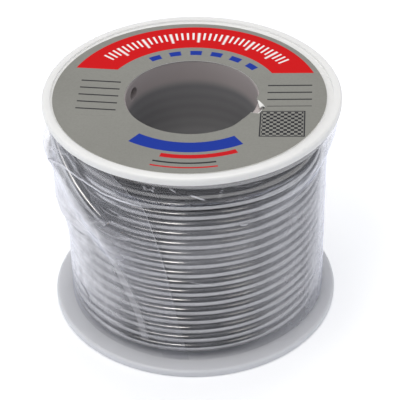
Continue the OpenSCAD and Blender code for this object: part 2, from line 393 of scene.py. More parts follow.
# ---------------------------------------------------------------- camera, light, floor
def make_camera():
    """The photograph's camera, as it was fitted to it."""
    data = bpy.data.cameras.new("camera")
    data.sensor_width = 36.0
    data.lens = 148.787
    data.clip_start, data.clip_end = 0.01, 20.0
    camera = bpy.data.objects.new("camera", data)
    scene.collection.objects.link(camera)
    place = Vector((0.0, -0.250433, 0.205715))
    target = Vector((0.00115258, 0.0, 0.02046034))
    forward = (target - place).normalized()
    level = forward.cross(Vector((0, 0, 1))).normalized()
    up = level.cross(forward)
    roll = math.radians(-0.997)
    right = level * math.cos(roll) + up * math.sin(roll)
    top = right.cross(forward)
    columns = (right, top, -forward, place)
    camera.matrix_world = Matrix([[column[k] for column in columns] for k in range(3)] + [[0, 0, 0, 1]])
    scene.camera = camera


def around(azimuth, elevation, distance):
    """A place seen from the reel at this elevation and azimuth: 0 is the camera's side, + is to its right."""
    a, e = math.radians(azimuth), math.radians(elevation)
    x, y = distance * math.sin(a) * math.cos(e), -distance * math.cos(a) * math.cos(e)
    return (x, y, distance * math.sin(e))


# Name, place, target, width and, if it isn't square, height (all in m), power, and colour
MIDDLE = (0, 0, 0.02)
LIGHTS = [
    ("soft_top", (0.0, 0.05, 0.60), MIDDLE, (0.30,), 0.50, (1.0, 0.98, 0.94)),
    ("key_top", (0.02, 0.09, 0.33), (0, 0, 0.045), (0.14,), 0.20, (1.0, 0.975, 0.93)),
    ("strip_left", (-0.160, -0.25, 0.60), (-0.160, -0.25, 0.0), (0.11, 0.34), 0.76, (1.0, 0.96, 0.88)),
    ("strip_far_left", (-0.31, -0.22, 0.60), (-0.31, -0.22, 0.0), (0.19, 0.34), 0.48, (1.0, 0.96, 0.90)),
    ("lamp_right", around(50, 56, 0.62), MIDDLE, (0.18, 0.20), 0.14, (1.0, 0.94, 0.84)),
    ("window_left", around(-84, 14, 0.45), MIDDLE, (0.30, 0.26), 0.34, (0.95, 0.97, 1.0)),
    ("window_right", around(78, 8, 0.45), MIDDLE, (0.30, 0.26), 0.20, (0.95, 0.97, 1.0)),
]


def make_light(name, place, target, sizes, power, colour):
    data = bpy.data.lights.new(name, "AREA")
    data.energy = power
    data.color = colour
    data.size = sizes[0]
    if len(sizes) > 1:
        data.shape = "RECTANGLE"
        data.size_y = sizes[1]
    light = bpy.data.objects.new(name, data)
    light.location = place
    light.rotation_mode = "QUATERNION"
    light.rotation_quaternion = (Vector(target) - Vector(place)).to_track_quat("-Z", "Y")
    scene.collection.objects.link(light)


def make_world():
    """Soft, slightly blue light from all round, while the background that is seen is plain white."""
    scene.world = bpy.data.worlds.new("world")
    scene.world.use_nodes = True
    w = Nodes(scene.world.node_tree, "ShaderNodeOutputWorld")
    soft = w.shader("Background", {"Color": (0.91, 0.935, 1.0), "Strength": 0.50})
    white = w.shader("Background", {"Color": (1, 1, 1), "Strength": 1.0})
    w.surface(w.blend(w.backdrop(), soft, white))


def make_floor():
    """A white floor that glows a little where it is seen, but lights nothing by it."""
    s = Shader("floor")
    colour = s.mix(s.noise(s.place(), 60.0, 3.0), (0.80, 0.81, 0.84), (0.83, 0.84, 0.86))
    plain, shown = s.shader("BsdfDiffuse", {"Color": colour}), s.shader("BsdfDiffuse", {"Color": colour})
    glow = s.shader("Emission", {"Color": (1, 1, 1), "Strength": 0.36})
    lit = s.shader("AddShader", {0: shown, 1: glow})
    material = s.finished(s.blend(s.backdrop(), plain, lit))
    steps = np.linspace(-FLOOR_HALF, FLOOR_HALF, FLOOR_POINTS)
    points = [(x, y, 0.0) for y in steps for x in steps]
    mesh_object("floor", points, grid_faces(FLOOR_POINTS, FLOOR_POINTS), material)


def make_tent():
    """A tent of cloth round the set, as is stood round shiny metal: light at the floor, dark above it and
    a little lighter at the top. Only reflections see it."""
    s = Shader("tent")
    fade = s.add("ValToRGB", {"Fac": s.math("MULTIPLY", s.axes(s.place())[2], 1 / 0.9)})
    elements = fade.color_ramp.elements
    elements[0].position, elements[1].position = TENT_STOPS[0][0], TENT_STOPS[-1][0]
    for position, _ in TENT_STOPS[1:-1]:
        elements.new(position)
    for element, (position, value) in zip(elements, TENT_STOPS):
        element.position = position
        element.color = (value * 0.93, value * 0.95, value * 1.06, 1)
    material = s.finished(s.shader("Emission", {"Color": fade.outputs["Color"], "Strength": 1.0}))
    # From just over the floor to a small hole at the top
    heights = [math.radians(0.3 + 89.2 * j / TENT_ROWS) for j in range(TENT_ROWS + 1)]
    profile = [(TENT_RADIUS * math.sin(e), TENT_RADIUS * math.cos(e)) for e in heights]
    points = turned(0 * Z, Z, circle(TENT_SIDES, X, Y), profile)
    tent = mesh_object("tent", points, tube_faces(len(profile), TENT_SIDES), material)
    tent.visible_camera = tent.visible_diffuse = tent.visible_shadow = tent.visible_transmission = False


# ---------------------------------------------------------------- materials
def plastic_material(name, tint_and_painted_shade):
    s = Shader(name)
    place = s.place()
    cloud = s.noise(place, 90.0, 3.0, 0.6)
    fine = s.noise(place, 900.0, 2.0, 0.5)
    scuffs = s.noise(s.stretch(place, (400, 400, 1500)), 1.0, 3.0)
    return s.principled({
        "Base Color": s.mix(cloud, tuple(0.79 * t for t in tint_and_painted_shade), tuple(0.85 * t for t in tint_and_painted_shade)),
        "Roughness": s.remap(fine, 0.3, 0.7, 0.30, 0.40),
        "IOR": 1.49,
        "Subsurface Weight": 0.55,
        "Subsurface Radius": (1.0, 1.0, 0.95),
        "Subsurface Scale": 0.0022,
        "Normal": s.bump(s.weighted((fine, 0.4), (scuffs, 1)), 0.00002, 0.35),
    })


def hub_material():
    """Translucent plastic with the dark turns behind it. Painted light: it is lighter near each end, where
    light comes in through the flange, and lighter again towards the middle of the bore, for light from the
    white floor below."""
    s = Shader("reel_plastic_hub")
    place = s.place()
    z = s.axes(place)[2]
    from_end = s.math("MINIMUM", z, s.math("SUBTRACT", REEL_H * MM, z))
    lip = s.remap(from_end, 0.0045, 0.0065, interpolation_type="SMOOTHSTEP")
    middle = s.remap(from_end, 0.011, 0.020, interpolation_type="SMOOTHSTEP")
    turns = s.math("SINE", s.math("MULTIPLY", z, 2 * math.pi / (PITCH * MM)))
    cloud = s.noise(s.stretch(place, (60, 60, 25)), 1.0, 3.0)
    shade = s.remap(s.weighted((turns, 0.08), (s.math("SUBTRACT", cloud, 0.5), 0.5)), -0.2, 0.2)
    # Painted light: "light" near each end, "dark" a little way in, and "core" lighter again towards the
    # middle
    dark = s.mix(shade, (0.25, 0.247, 0.255), (0.315, 0.312, 0.32))
    core = s.mix(shade, (0.38, 0.375, 0.385), (0.48, 0.475, 0.485))
    light = s.mix(cloud, (0.45, 0.40, 0.395), (0.52, 0.47, 0.465))
    return s.principled({
        "Base Color": s.mix(lip, light, s.mix(middle, dark, core)),
        "Roughness": s.remap(cloud, 0.3, 0.7, 0.38, 0.46),
        "IOR": 1.49,
        "Subsurface Weight": 0.15,
        "Subsurface Radius": (1, 1, 1),
        "Subsurface Scale": 0.0015,
        "Normal": s.bump(cloud, 0.00005, 0.2),
    })


def solder_material():
    """Drawn solder: bright metal with lengthwise streaks, dull patches and short nicks. Its value "shade"
    darkens it towards dark brown: painted shade, for wire that lies in shadow."""
    s = Shader("solder_drawn")
    uv = s.add("UVMap", uv_map="Length").outputs[0]
    place = s.place()
    streak = s.noise(s.stretch(uv, (0.18, 7.0, 1.0)), 1.0, 4.0, 0.65)
    fine = s.noise(s.stretch(uv, (0.9, 30.0, 1.0)), 1.0, 3.0, 0.6)
    patch = s.noise(place, 210.0, 4.0, 0.6)
    cloud = s.noise(place, 70.0, 2.0, 0.5)
    nick = s.remap(s.noise(s.stretch(uv, (2.6, 9.0, 1.0)), 1.0, 2.0, 0.7), 0.64, 0.72)
    tone = s.weighted((streak, 0.5), (patch, 0.3), (cloud, 0.2))
    colour = s.mix(s.remap(tone, 0.36, 0.64), (0.27, 0.27, 0.275), (0.42, 0.42, 0.428))
    colour = s.mix(s.math("MULTIPLY", nick, 0.25), colour, (0.16, 0.155, 0.15))
    return s.principled({
        # Painted shade: the value "shade" darkens the metal towards dark brown
        "Base Color": s.mix(s.value_of("shade"), colour, (0.075, 0.068, 0.055)),
        "Metallic": 1.0,
        "Roughness": s.remap(s.weighted((fine, 0.5), (patch, 0.5)), 0.34, 0.66, 0.10, 0.26),
        "Normal": s.bump(s.weighted((fine, 0.7), (streak, 1), (nick, -0.4)), 0.00002, 0.4),
    })


def flux_material():
    s = Shader("rosin_flux")
    cloud = s.noise(s.place(), 1500.0, 3.0)
    return s.principled({
        "Base Color": s.mix(cloud, (0.55, 0.30, 0.06), (0.75, 0.50, 0.16)),
        "Roughness": 0.25,
        "Subsurface Weight": 0.3,
        "Subsurface Radius": (1, 0.6, 0.2),
        "Subsurface Scale": 0.0005,
        "Normal": s.bump(cloud, 0.00005, 0.4),
    })


def film_material():
    """Clear film, by three values on the sheet: "haze" is how milky it is, partly painted highlight and
    reflection, "fold" is painted shade where the film looks dark, seen edge on or doubled, and "crest" where
    a crease shines."""
    s = Shader("clear_film")
    place = s.place()
    haze, fold, crest = s.value_of("haze"), s.value_of("fold"), s.value_of("crest")
    fine = s.noise(place, 800.0, 3.0, 0.65)
    cloud = s.noise(place, 120.0, 3.0, 0.6)
    drag = s.noise(s.stretch(place, (130, 130, 900)), 1.0, 3.0, 0.6)
    spread = s.weighted((fine, 0.3), (cloud, 0.35), (drag, 0.35))
    broken = s.math("MULTIPLY", haze, s.remap(spread, 0.36, 0.64, 0.72, 1.25))
    normal = s.bump(s.noise(s.stretch(place, (240, 240, 700)), 1.0, 3.0, 0.6), 0.00006, 0.5)
    # Schlick's share of light that is reflected, less where the film is clear, and more on the creases
    facing = s.add("LayerWeight", {"Blend": 0.5, "Normal": normal}).outputs["Facing"]
    schlick = s.math("ADD", s.math("MULTIPLY", s.math("POWER", facing, 5.0), 0.92), 0.04, clamp=True)
    schlick = s.math("MULTIPLY", schlick, s.remap(haze, 0.0, 0.03, 0.2, 1.0))
    schlick = s.math("MAXIMUM", schlick, s.math("MULTIPLY", crest, 0.45))
    # Painted shade: the see-through colour darkens where "fold" marks a pleat
    clear = s.shader("BsdfTransparent", {"Color": s.mix(fold, (0.97, 0.97, 0.975), (0.34, 0.34, 0.38))})
    cloudy = s.mix(cloud, (0.86, 0.86, 0.93), (0.89, 0.88, 0.91))
    milk = s.shader("BsdfDiffuse", {"Color": cloudy, "Normal": normal})
    through = s.shader("BsdfTranslucent", {"Color": (0.90, 0.90, 0.93), "Normal": normal})
    crumpled = s.shader("BsdfGlossy", {"Color": (0.94, 0.94, 0.97), "Roughness": 0.55, "Normal": normal})
    milk = s.blend(s.remap(haze, 0.2, 0.7, 0.1, 0.55), s.blend(0.42, milk, through), crumpled)
    rough = s.remap(cloud, 0.3, 0.7, 0.07, 0.16)
    gloss = s.shader("BsdfGlossy", {"Color": (0.90, 0.92, 1.0), "Roughness": rough, "Normal": normal})
    body = s.blend(s.math("MINIMUM", broken, 0.92), clear, milk)
    return s.finished(s.blend(schlick, body, gloss))


def label_material():
    """Silver-grey sticker with a plain print, and no lettering: a red band with a white scale, blue and red
    stripes, blank rules and a chequer."""
    s = Shader("label_face")
    place = s.place()
    print_place = s.stretch(place, (1000, 1000, 1000), (0, 0, -PRINT_TURN))
    x, y, _ = s.axes(print_place)
    r = s.math("SQRT", s.math("ADD", s.math("MULTIPLY", x, x), s.math("MULTIPLY", y, y)))
    # Degrees from the back and from the front, + to the right
    back = s.math("MULTIPLY", s.math("ARCTAN2", x, y), 180 / math.pi)
    front = s.math("MULTIPLY", s.math("ARCTAN2", x, s.math("MULTIPLY", y, -1.0)), 180 / math.pi)
    grain = s.noise(s.stretch(place, (2600, 2600, 2600)), 1.0, 2.0, 0.7)
    cloud = s.noise(place, 70.0, 3.0, 0.55)
    silver = s.mix(s.weighted((grain, 0.6), (cloud, 0.4)), (0.275, 0.274, 0.250), (0.400, 0.398, 0.368))

    def all_of(first, *others):
        for other in others:
            first = s.math("MULTIPLY", first, other)
        return first

    def either(a, b):
        return s.math("MAXIMUM", a, b)

    def inside(value, low, high, soft=0.05):
        above_low = s.remap(value, low - soft, low + soft)
        return all_of(above_low, s.remap(value, high - soft, high + soft, 1.0, 0.0))

    def repeated(value, step, share):
        """1 in the middle share of each step along value."""
        steps = s.math("ADD", s.math("MULTIPLY", value, 1 / step), 500.0)
        from_middle = s.math("ABSOLUTE", s.math("SUBTRACT", s.math("FRACT", steps), 0.5))
        return s.remap(from_middle, share / 2 - 0.03, share / 2 + 0.03, 1.0, 0.0)

    def marks(angle, step, share, radii, angles):
        """Marks in each step of an angle, between two radii and two angles from the back."""
        return all_of(repeated(angle, step, share), inside(r, *radii), inside(back, *angles, 0.2))

    def stripe(radii, angles):
        """A stripe between two radii and two angles from the front."""
        return all_of(inside(r, *radii), inside(front, *angles, 0.15))

    def box(left, right, near, far):
        return all_of(inside(x, left, right), inside(y, near, far))

    # Red band with a plain white scale, as on a dial
    band = all_of(inside(r, 16.2, 23.2), s.remap(y, 7.75, 7.85))
    short_ticks = marks(s.math("ADD", back, 1.5), 3.0, 0.36, (18.9, 21.2), (-55.5, 55.5))
    long_ticks = marks(s.math("ADD", back, 7.5), 15.0, 0.085, (18.0, 21.2), (-55.5, 55.5))
    scale = either(short_ticks, long_ticks)
    # Blue dashes between the band and the hole
    dashes = marks(s.math("SUBTRACT", back, 7.0), 15.5, 0.56, (13.7, 15.1), (-39.5, 53.5))
    # Stripes at the front
    blue_stripe = stripe((15.2, 18.3), (-33.0, 33.0))
    red_stripe = stripe((19.1, 20.3), (-12.0, 27.0))
    grey_line = stripe((21.5, 21.95), (-14.0, 15.0))
    red_line = stripe((22.9, 23.3), (-14.0, 15.0))
    # Blank rules at the left and right, and a chequer in a frame
    rules = repeated(s.math("SUBTRACT", y, 0.25), 2.3, 0.16)
    left_rules = all_of(rules, inside(y, -7.6, 4.6), inside(x, -20.4, -13.2))
    right_rules = all_of(rules, inside(y, -3.2, 4.6), inside(x, 13.6, 21.6))
    cells = s.add("TexChecker", {"Vector": s.stretch(print_place, (1 / 0.62, 1 / 0.62, 0.0)), "Scale": 1.0})
    chequer = all_of(box(12.85, 20.15, -12.65, -5.05), cells.outputs["Fac"])
    outside, hollow = box(12.5, 20.5, -13.0, -4.7), box(12.75, 20.25, -12.75, -4.95)
    frame_line = s.math("SUBTRACT", outside, hollow, clamp=True)

    blue, red = either(dashes, blue_stripe), either(red_stripe, red_line)
    ink = either(either(grey_line, either(left_rules, right_rules)), either(chequer, frame_line))
    colour = s.mix(band, silver, (0.61, 0.011, 0.013))
    colour = s.mix(all_of(band, scale), colour, (0.86, 0.86, 0.85))
    colour = s.mix(blue, colour, (0.018, 0.045, 0.33))
    colour = s.mix(red, colour, (0.56, 0.015, 0.02))
    printed = either(either(band, ink), either(blue, red))
    return s.principled({
        "Base Color": s.mix(ink, colour, (0.035, 0.035, 0.04)),
        "Metallic": s.math("MULTIPLY", s.math("SUBTRACT", 1.0, printed), 0.3),
        "Roughness": s.mix(printed, s.remap(grain, 0.3, 0.7, 0.32, 0.42), (0.24, 0.24, 0.24)),
        "Specular IOR Level": 0.12,
        "Normal": s.bump(s.weighted((grain, 0.5), (cloud, 1)), 0.00002, 0.3),
    })


def paper_material():
    s = Shader("label_paper")
    fibre = s.noise(s.place(), 1800.0, 3.0, 0.6)
    colour = s.mix(fibre, (0.74, 0.74, 0.72), (0.90, 0.90, 0.87))
    return s.principled({"Base Color": colour, "Roughness": 0.7, "Normal": s.bump(fibre, 0.00003, 0.4)})


# ---------------------------------------------------------------- label
def sticker_top(xy):
    """Height of the sticker's face at these places: it lies in the flange's dished recess."""
    return REEL_H - recess_at(np.hypot(xy[..., 0], xy[..., 1])) + LABEL_GLUE + LABEL_T


# The edge of the sticker's hole where it is torn: angle from +X about the hole's centre, and radius there
TEAR = [
    (-60.0, 12.15), (-55.5, 12.15), (-42.0, 11.75), (-28.6, 11.82), (-28.1, 12.3), (-27.6, 13.1),
    (-24.0, 13.3), (-19.6, 13.2), (-17.0, 12.75), (-14.5, 12.26), (-10.0, 11.95), (-5.2, 11.64),
    (-2.0, 11.85), (1.5, 12.15),
]


def make_label():
    """The sticker, with a torn notch in its hole and a flap turned back beside it."""
    angles = np.linspace(-180, 180, LABEL_POINTS, endpoint=False)
    torn = (angles > -28.8) & (angles < -4.0)
    white = torn & (angles < -12)  # where the paper shows at the tear
    ragged = noise_line(5, 301)
    hole = np.interp(angles, *zip(*TEAR)) + torn * 0.05 * ragged(angles * 1.3 + 400)
    direction = np.stack([np.cos(np.radians(angles)), np.sin(np.radians(angles))], 1)
    inner = HOLE_CENTRE + hole[:, None] * direction
    # The outer edge, where a ray from the hole's centre meets the sticker's circle
    offset = HOLE_CENTRE - LABEL_CENTRE
    along = direction @ offset
    reach = -along + np.sqrt(along**2 - offset @ offset + LABEL_R**2)
    outer = HOLE_CENTRE + reach[:, None] * direction
    shares = np.concatenate([[0, 0.012, 0.03], np.linspace(0.06, 1.0, LABEL_RINGS - 2)])[:, None, None]
    xy = inner * (1 - shares) + outer * shares
    points = [np.dstack([xy, sticker_top(xy) - drop]).reshape(-1, 3) for drop in (0.0, LABEL_T)]
    under = len(points[0])
    last = under - LABEL_POINTS
    sheet = tube_faces(len(shares), LABEL_POINTS)
    i = np.arange(LABEL_POINTS)
    j = (i + 1) % LABEL_POINTS
    hole_edge = np.stack([i, j, under + j, under + i], -1)
    outer_edge = np.stack([last + i, under + last + i, under + last + j, last + j], -1)
    pairs = [(turned_over(sheet), under + sheet), (hole_edge, outer_edge)]
    faces = np.concatenate([np.stack(pair, 1).reshape(-1, 4) for pair in pairs])
    # Of the sheet's faces, each even one is on top and shows the print, unless it is at the tear
    slots = np.ones(len(faces), int)
    slots[0 : 2 * len(sheet) : 2] = 0
    slots[0 : 2 * LABEL_POINTS : 2] = white
    paper = paper_material()
    points, materials = np.concatenate(points), [label_material(), paper]
    piece(mesh_object("label_sheet", points, faces, materials, smooth=False, slots=slots), "label", "label")

    # The flap: a torn triangle, white underneath, curled back over the sticker
    a, b, tip = np.array([11.72, -2.55]), np.array([12.02, -5.45]), np.array([13.05, -4.75])
    u = np.arange(FLAP_STEPS + 1)[:, None] / FLAP_STEPS
    v = np.arange(FLAP_ACROSS + 1) / FLAP_ACROSS
    left, right = a * (1 - u) + tip * u, b * (1 - u) + tip * u
    xy = left[:, None] * (1 - v)[:, None] + right[:, None] * v[:, None]
    curl = 0.62 * np.sin(math.pi * np.minimum(1, 0.25 + u * 0.72)) * (0.75 + 0.25 * v)
    height = sticker_top(xy) + FLAP_GAP + curl + 0.05 * ragged(u * 5.3 + v * 3.1 + 40)
    top = np.dstack([xy, height]).reshape(-1, 3)
    under = len(top)
    grid = np.arange(under).reshape(height.shape)
    upper = grid_faces(*height.shape)
    p = np.concatenate([grid[0], grid[1:, -1], grid[-1, -2::-1], grid[-2:0:-1, 0]])  # round the border
    q = np.roll(p, -1)
    faces = np.stack([upper, under + turned_over(upper)], 1).reshape(-1, 4)
    faces = np.concatenate([faces, np.stack([p, under + p, under + q, q], -1)])
    piece(mesh_object("label_flap", np.concatenate([top, top - FLAP_T * Z]), faces, paper), "label")


# ---------------------------------------------------------------- wire
def wire_path(i):
    """The outer layer's centreline at ring i: radius, height and azimuth, in mm and degrees."""
    start = OUTER_R - LAYER_STEP + LAYER_STEP * ease(i / START_RINGS)
    climb = ease((i - CLIMB_START) / CLIMB_RINGS) ** CLIMB_POWER
    radius = np.where(i < START_RINGS, start, OUTER_R + TAIL_LIFT * climb)
    wound = np.minimum(TOP_Z, START_Z + i * PITCH / RINGS)
    diving = TOP_Z - TAIL_DROP * dive(np.clip((i - DIVE_START) / DIVE_RINGS, 0, 1))
    return radius, np.where(i < DIVE_START, wound, diving), START_AZ + i * 360 / RINGS


def lay(az, height):
    """How far the turns lie off an even helix: at the front right the upper ones run lower."""
    phi = front_angle(az)
    share = ease(phi / 62) * (1 - ramp(phi, 75, 70))
    return -SAG * share * (0.12 + 0.88 * np.clip((height - 6) / 28, 0, 1))


def make_wire(material):
    """The outer layer and the loose end. Returns the cut end's middle, direction and circle."""
    i = np.arange(0, LAST_RING + 1e-9, 1 / WIRE_PER_RING)
    radius, height, az = wire_path(i)
    # Hand-laid turns wander a little
    wander_r, wander_z = noise_line(11, 997), noise_line(12, 997)
    radius = radius + WANDER_R * wander_r(i / 2.2) * (i > 4)
    under = ramp(height, 36.5, 3.0) * (i < CLIMB_START)  # the turns in the flange's shadow
    radius = radius - PRESSED_IN * under * (1 - ease((i - CLIMB_START + 10) / 10))
    free = np.clip((height - LOW_Z) / 1.5, 0, 1) * np.clip((TOP_Z - height) / 1.5, 0, 1)
    free = free * (i < DIVE_START - RINGS)
    height = height + (WANDER_Z * wander_z(i / 3.1) + lay(az, height)) * free
    az = np.radians(az)
    path = on_circle(az, radius, height)
    t = tangents_of(path)
    outs = on_circle(az, 1, 0 * az)
    length = np.concatenate([[0], np.cumsum(np.linalg.norm(np.diff(path, axis=0), axis=1))])
    # The cut end: pinched a little by the cutters, with the flux's hole in it
    end, direction = path[-1], t[-1]
    out = outs[-1] - (outs[-1] @ direction) * direction
    out /= np.linalg.norm(out)
    ring = circle(WIRE_SIDES, out, np.cross(out, direction))
    cut = turned(end, direction, ring, CUT_PROFILE)
    points = np.concatenate([tube(path, t, outs, WIRE_R, WIRE_SIDES), cut])
    rows = len(path) + len(CUT_PROFILE)
    ob = mesh_object("solder_wire", points, capped(rows, WIRE_SIDES), material)
    along = np.concatenate([length, length[-1] + np.array([0.1, 0.3, 0.6, 1.5])])
    around_v = np.tile(np.arange(WIRE_SIDES) / WIRE_SIDES, rows)
    add_uv(ob, "Length", np.repeat(along, WIRE_SIDES), around_v, wraps=True)
    bake_rows(ob, np.concatenate([i, LAST_RING + np.array([0.02, 0.04, 0.06, 0.1])]), WIRE_SIDES)
    # Painted shade: the turns in the upper flange's shadow are darkened most, the wire that climbs out under
    # the flange less, the cut end a little and the loose end hardly at all
    shade = 0.9 * under + 0.35 * (i >= CLIMB_START) - 0.3 * (i >= DIVE_START)
    add_values(ob, "shade", np.repeat(np.concatenate([shade, [0.2] * len(CUT_PROFILE)]), WIRE_SIDES))
    piece(ob, "solder", "outer_turns")
    return end, direction, ring


def make_flux(end, direction, ring, material):
    """The flux shows as a slightly sunk, rough plug in the cut end."""
    sides, rows = WIRE_SIDES, len(FLUX_PROFILE)
    middles = [end + direction * FLUX_BACK, end + direction * FLUX_TIP]
    points = np.concatenate([turned(end, direction, ring, FLUX_PROFILE), middles])
    n, last = rows * sides, (rows - 1) * sides
    faces = [tuple(face) for face in tube_faces(rows, sides)]
    faces += [(n, (k + 1) % sides, k) for k in range(sides)]
    faces += [(n + 1, last + k, last + (k + 1) % sides) for k in range(sides)]
    piece(mesh_object("flux_end", points, faces, material), "flux", "flux_core")


def make_inner(material):
    """The fourth layer, wound the other way, over a plain core that stands for the three under it."""
    count = int(INNER_TURNS * INNER_PER_TURN) + 1
    i = np.arange(count)
    az = -i * 2 * np.pi / INNER_PER_TURN + INNER_START
    height = LOW_Z + (TOP_Z - LOW_Z) * i / (count - 1)
    deeper_high, deeper_low = INNER_HIGH * ramp(height, 35.0, 2.5), INNER_LOW * (1 - ramp(height, 5.5, 2.0))
    radius = OUTER_R - LAYER_STEP - INNER_GAP - deeper_high - deeper_low
    path = on_circle(az, radius, height)
    layer = tube(path, tangents_of(path), on_circle(az, 1, 0 * az), WIRE_R, INNER_SIDES)
    faces = capped(count, INNER_SIDES)
    # The core: its four edges and the faces between them
    low, high, bore = FLANGE_T + CORE_GAP, REEL_H - FLANGE_T - CORE_GAP, HUB_R + CORE_GAP
    edges = [(low, bore), (low, CORE_R), (high, CORE_R), (high, bore)]
    core = turned(0 * Z, Z, circle(CORE_SIDES, X, Y), edges)
    faces += [tuple(len(layer) + face % len(core)) for face in tube_faces(len(edges) + 1, CORE_SIDES)]
    # The wire's start, in the lower start hole
    a = math.radians(START_HOLE_AZ + 180)
    out, side = np.array([math.cos(a), math.sin(a), 0.0]), np.array([-math.sin(a), math.cos(a), 0.0])
    stub = turned(START_HOLE_Z * Z, out, circle(WIRE_SIDES, side, Z), STUB_PROFILE)
    base = len(layer) + len(core)
    faces += [tuple(base + face[::-1]) for face in tube_faces(len(STUB_PROFILE), WIRE_SIDES)]
    points = np.concatenate([layer, core, stub])
    ob = mesh_object("inner_wire_layers", points, faces, material)
    u, v = np.zeros(len(points)), np.zeros(len(points))
    u[: len(layer)] = np.repeat(i * 2 * np.pi / INNER_PER_TURN * STREAK_R, INNER_SIDES)
    v[: len(layer)] = np.tile(np.arange(INNER_SIDES) / INNER_SIDES, count)
    add_uv(ob, "Length", u, v, wraps=True)
    # Painted shade: the inner layer, the core and the start stub are darkened by half, as they lie deep
    # between the outer turns, and almost to dark brown near the top under the flange
    add_values(ob, "shade", 0.5 + 0.4 * ramp(points[:, 2], 36, 4))
    piece(ob, "solder", "inner_turns")


# ---------------------------------------------------------------- film
# The film's outer edge and its inner one: angle from the front, at each height
OUTER_EDGE = [
    (1.7, -3.5), (11, -8.0), (19.5, -11.5), (28, -15.2), (34.5, -19.0), (38.5, -22.5), (40.5, -25.8),
    (43, -33.0),
]
INNER_EDGE = [
    (1.7, -15.0), (6.2, -18.8), (9, -21.4), (13.4, -26.6), (18.4, -32.6), (24, -38.0), (30, -41.0),
    (43, -46.0),
]

# Lines on the film: angle from the front and height of each point, and then half width and rise in mm,
# milkiness and darkness. The milkiness is partly the film's own whitening and partly painted highlight, for
# the glint along a crease; the darkness is painted shade along a pleat.
CREASES = [
    ([(-100, 27.5), (-84, 32.6), (-72, 36.0), (-60, 38.3), (-46, 38.8), (-35, 38.2), (-26, 37.2),
      (-20, 36.5), (-12, 36.0)], 0.18, 0.16, 1.0, 0),
    ([(-77, 37.0), (-66, 40.0), (-57, 41.5), (-51, 41.2)], 0.20, 0.05, 0.5, 0),
    ([(-75, 26.6), (-70, 24.2), (-64, 23.2), (-58, 23.1), (-53, 23.6)], 0.22, -0.10, 0, 0.85),
    ([(-77, 27.6), (-71, 25.2), (-64, 24.2), (-57, 24.1)], 0.45, 0.12, 0.75, 0),
    ([(-68, 28.4), (-60, 27.6), (-52, 26.2), (-46, 25.0)], 0.5, 0.12, 0.55, 0),
    ([(-62, 26.2), (-55, 25.2), (-49, 25.4), (-43, 24.9), (-41, 22.8)], 0.35, 0.08, 0.5, 0),
    ([(-43, 30.4), (-40, 28.4), (-41, 25.5), (-38, 23.0)], 0.4, 0.06, 0.4, 0),
    ([(-41, 30.0), (-36, 29.6), (-30, 29.2), (-24, 29.3)], 0.25, 0.05, 0.35, 0),
    ([(-42, 25.0), (-35.5, 20.0), (-29.6, 15.0), (-25.2, 10.0), (-23.2, 4.6)], 0.85, 0.02, 0.26, 0),
    ([(-66, 9.4), (-61, 8.9), (-56, 8.1)], 0.32, -0.08, 0, 0.8),
    ([(-46, 29.0), (-42, 30.6), (-38, 31.6), (-33, 32.4), (-28, 32.2)], 0.25, 0.05, 0.3, 0),
    ([(-66, 34.4), (-57, 34.0), (-50, 32.2)], 0.14, 0.05, 0.35, 0),
    ([(-53, 39.5), (-44, 39.2), (-36, 38.4), (-30, 37.9)], 0.5, 0.08, 0.12, 0.25),
    ([(-18.6, 42.2), (-18.0, 41.2)], 0.13, 0.1, 0.9, 0),
    ([(-18.0, 41.3), (-14.6, 41.8)], 0.10, 0.1, 0.5, 0),
    ([(-14.8, 42.3), (-15.4, 40.9)], 0.10, 0.1, 0.6, 0),
    ([(-9.0, 42.2), (-6.6, 41.5)], 0.10, 0.1, 0.7, 0),
    ([(-1.8, 41.0), (1.0, 40.5), (4.6, 39.6)], 0.12, 0.1, 0.8, 0),
    ([(10.8, 42.2), (10.0, 41.0), (9.2, 39.8)], 0.08, 0.1, 0.5, 0),
    ([(14, 42.0), (20, 41.4), (27, 41.6)], 0.10, 0.1, 0.3, 0),
    ([(60, 41.4), (62, 39.8), (66.5, 37.0)], 0.22, 0.1, 0.5, 0),
    ([(19.0, 31.6), (21.5, 31.2), (23.8, 31.4)], 0.10, 0.05, 0.7, 0),
    ([(21, 15.8), (24.5, 15.9)], 0.10, 0.05, 0.5, 0),
    ([(-12, 31.0), (-5, 31.2)], 0.10, 0.05, 0.3, 0),
    ([(-4, 20.2), (3, 19.4), (12, 18.9)], 0.10, 0.05, 0.35, 0),
]
WIDE_CREASE = 0.7  # wider ones have a flat middle and short ends
DEGREE = math.radians(1) * (OUTER_R + 2.0)  # in mm along the film


def crease_marks(phi, z):
    """Rise, milkiness and darkness that the creases give at these places: the milkiness is partly painted
    highlight, the darkness painted shade.
    """
    rise, milk, dark = np.zeros_like(phi), np.zeros_like(phi), np.zeros_like(phi)
    for path, half, height, white, black in CREASES:
        wide = half > WIDE_CREASE
        near, fade = np.full_like(phi, 1e9), np.zeros_like(phi)
        total = sum(math.hypot((p1 - p0) * DEGREE, z1 - z0) for (p0, z0), (p1, z1) in zip(path, path[1:]))
        done = 0.0
        for (p0, z0), (p1, z1) in zip(path, path[1:]):
            dx, dz = (p1 - p0) * DEGREE, z1 - z0
            length = math.hypot(dx, dz)
            x, y = (phi - p0) * DEGREE, z - z0
            t = np.clip((x * dx + y * dz) / length**2, 0, 1)
            gap = np.hypot(x - t * dx, y - t * dz)
            closer = gap < near
            near = np.where(closer, gap, near)
            fade = np.where(closer, (done + t * length) / total, fade)
            done += length
        ends = ease(np.minimum(fade, 1 - fade) / (0.05 if wide else 0.18))
        mark = bell(near, 0, half, 8 if wide else 2) * ends
        rise += height * mark
        milk = np.maximum(milk, white * mark)
        dark = np.maximum(dark, black * mark)
    return rise, milk, dark


